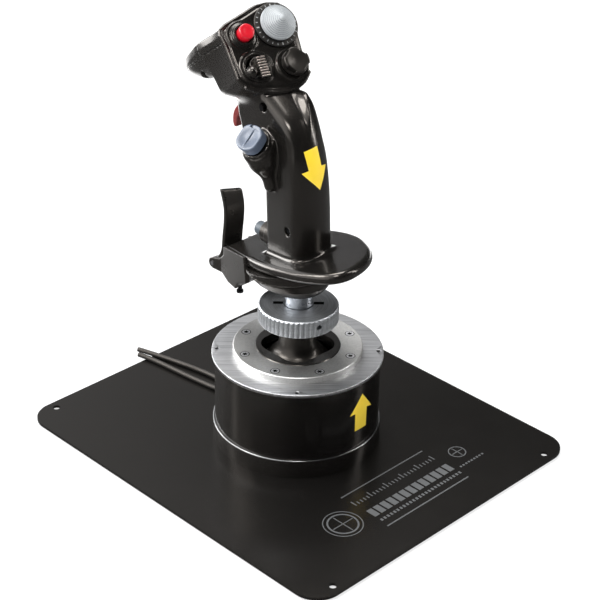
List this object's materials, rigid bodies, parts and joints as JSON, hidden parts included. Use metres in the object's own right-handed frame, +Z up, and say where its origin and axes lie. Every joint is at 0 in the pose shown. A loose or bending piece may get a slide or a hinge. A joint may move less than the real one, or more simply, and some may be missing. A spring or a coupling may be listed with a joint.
{
  "type": "flight joystick",
  "caption": "Flight joystick on a wide flat plate: round base with a gimbal, threaded lock ring, leaning grip with hand rest, paddle lever, trigger, hat switches and push buttons.",
  "frame": {"origin": "on the table under the vertical axis of the round base, at the bottom of the rubber feet", "axes": "+X to the user's right, +Y away from the user, +Z up"},
  "size_m": [0.251, 0.304, 0.3002],
  "materials": {
    "powder_coat": "fine matte black powder coat",
    "black_satin": "satin black paint",
    "black_gloss": "semi-gloss black moulding",
    "brushed_alu": "brushed",
    "turned_alu": "fine turned",
    "steel": "bright zinc plated",
    "black_steel": "black oxide",
    "bronze": "sintered bronze",
    "board_green": "solder mask",
    "magnet": "nickel plated",
    "rubber": "matte",
    "hat_black": "fine texture",
    "hat_grey": "satin light grey",
    "hat_blue_grey": "satin blue grey",
    "button_red": "satin red",
    "trigger_red": "dark red brown",
    "white_plastic": "natural acetal"
  },
  "bodies": {
    "base": {"base_plate": "powder_coat", "plate_feet": "rubber", "plate_screws": "black_steel", "base_floor": "black_satin", "base_housing": "black_satin", "top_flange": "brushed_alu", "flange_screws": "black_steel", "cover_disc": "turned_alu", "cover_screws": "steel", "gate_ring": "hat_black", "gimbal_frame": "turned_alu", "pitch_bushes": "bronze", "sensor_board": "board_green", "main_board": "board_green", "cable_gland": "rubber", "usb_cable": "rubber", "link_cable": "rubber", "centering_spring": "steel"},
    "gimbal": {"gimbal_ring": "steel", "pitch_pins": "steel", "roll_pins": "steel"},
    "nut": {"locking_nut": "turned_alu"},
    "paddle": {"paddle_lever": "black_gloss"},
    "trigger": {"trigger": "trigger_red"},
    "release_button": {"release_button": "button_red"},
    "steering_button": {"steering_button": "hat_blue_grey"},
    "trim_rocker": {"trim_rocker": "white_plastic"},
    "trim_hat": {"trim_hat": "hat_grey"},
    "display_rocker": {"display_rocker": "white_plastic"},
    "display_hat": {"display_hat": "hat_black"},
    "target_rocker": {"target_rocker": "white_plastic"},
    "target_hat": {"target_hat": "hat_black"},
    "side_rocker": {"side_rocker": "white_plastic"},
    "side_hat": {"side_hat": "hat_blue_grey"},
    "stick": {"roll_bushes": "bronze", "stick_shaft": "steel", "spring_seat": "steel", "sensor_magnet": "magnet", "stick_dome": "black_gloss", "stick_connector": "steel", "grip_neck": "turned_alu", "neck_screw": "steel", "rest_cup": "black_gloss", "hand_rest": "black_gloss", "paddle_bracket": "black_gloss", "paddle_pin": "steel", "paddle_stop_screw": "black_steel", "grip_left_shell": "black_gloss", "grip_right_shell": "black_gloss", "grip_screws": "black_steel", "head_shell": "black_gloss", "face_panel": "black_gloss", "nose_cap": "black_gloss", "side_pod": "black_gloss", "trim_ring": "hat_black", "release_collar": "hat_black", "steering_collar": "hat_black", "trigger_pin": "steel", "display_collar": "hat_black"}
  },
  "joints": [
    {"name": "stick_pitch", "type": "hinge", "parent": "base", "child": "gimbal", "pos_m": [0, 0, 0.048], "axis": [1, 0, 0], "range_deg": [-15, 15], "stiffness_Nm_per_rad": 9, "deforming": ["centering_spring"]},
    {"name": "stick_roll", "type": "hinge", "parent": "gimbal", "child": "stick", "pos_m": [0, 0, 0.048], "axis": [0, 1, 0], "range_deg": [-15, 15], "stiffness_Nm_per_rad": 9},
    {"name": "nut_turn", "type": "hinge", "parent": "stick", "child": "nut", "pos_m": [0, 0, 0.0996], "axis": [0, 0, 1], "continuous": true},
    {"name": "paddle_squeeze", "type": "hinge", "parent": "stick", "child": "paddle", "pos_m": [0, 0.073, 0.1125], "axis": [1, 0, 0], "range_deg": [0, 12], "stiffness_Nm_per_rad": 0.3, "springref_deg": -22.92},
    {"name": "trigger_pull", "type": "hinge", "parent": "stick", "child": "trigger", "pos_m": [0, 0.047, 0.2365], "axis": [-1, 0, 0], "range_deg": [0, 9], "stiffness_Nm_per_rad": 0.15, "springref_deg": -22.92},
    {"name": "release_push", "type": "slide", "parent": "stick", "child": "release_button", "axis": [0.1989, 0.7172, -0.6678], "range_m": [0, 0.0018], "stiffness_N_per_m": 1500, "springref_m": -0.001},
    {"name": "steering_push", "type": "slide", "parent": "stick", "child": "steering_button", "axis": [0, -1, 0], "range_m": [0, 0.0015], "stiffness_N_per_m": 1500, "springref_m": -0.001},
    {"name": "trim_side_tilt", "type": "hinge", "parent": "stick", "child": "trim_rocker", "pos_m": [0.01971, 0.04928, 0.28159], "axis": [0.1785, 0.6435, 0.7443], "range_deg": [-6, 6], "stiffness_Nm_per_rad": 0.05},
    {"name": "trim_up_tilt", "type": "hinge", "parent": "trim_rocker", "child": "trim_hat", "pos_m": [0.01971, 0.04928, 0.28159], "axis": [0.9636, -0.2672, 0], "range_deg": [-6, 6], "stiffness_Nm_per_rad": 0.05},
    {"name": "display_side_tilt", "type": "hinge", "parent": "stick", "child": "display_rocker", "pos_m": [-0.0071, 0.03869, 0.26224], "axis": [0.1785, 0.6435, 0.7443], "range_deg": [-6, 6], "stiffness_Nm_per_rad": 0.05},
    {"name": "display_up_tilt", "type": "hinge", "parent": "display_rocker", "child": "display_hat", "pos_m": [-0.0071, 0.03869, 0.26224], "axis": [0.9636, -0.2672, 0], "range_deg": [-6, 6], "stiffness_Nm_per_rad": 0.05},
    {"name": "target_side_tilt", "type": "hinge", "parent": "stick", "child": "target_rocker", "pos_m": [0.01712, 0.03059, 0.26075], "axis": [0.1785, 0.6435, 0.7443], "range_deg": [-6, 6], "stiffness_Nm_per_rad": 0.05},
    {"name": "target_up_tilt", "type": "hinge", "parent": "target_rocker", "child": "target_hat", "pos_m": [0.01712, 0.03059, 0.26075], "axis": [0.9636, -0.2672, 0], "range_deg": [-6, 6], "stiffness_Nm_per_rad": 0.05},
    {"name": "side_up_tilt", "type": "hinge", "parent": "stick", "child": "side_rocker", "pos_m": [-0.01856, 0.01941, 0.21976], "axis": [-0.0415, 0.9941, 0.1005], "range_deg": [-6, 6], "stiffness_Nm_per_rad": 0.05},
    {"name": "side_fore_tilt", "type": "hinge", "parent": "side_rocker", "child": "side_hat", "pos_m": [-0.01856, 0.01941, 0.21976], "axis": [0.7095, -0.0415, 0.7035], "range_deg": [-6, 6], "stiffness_Nm_per_rad": 0.05}
  ]
}
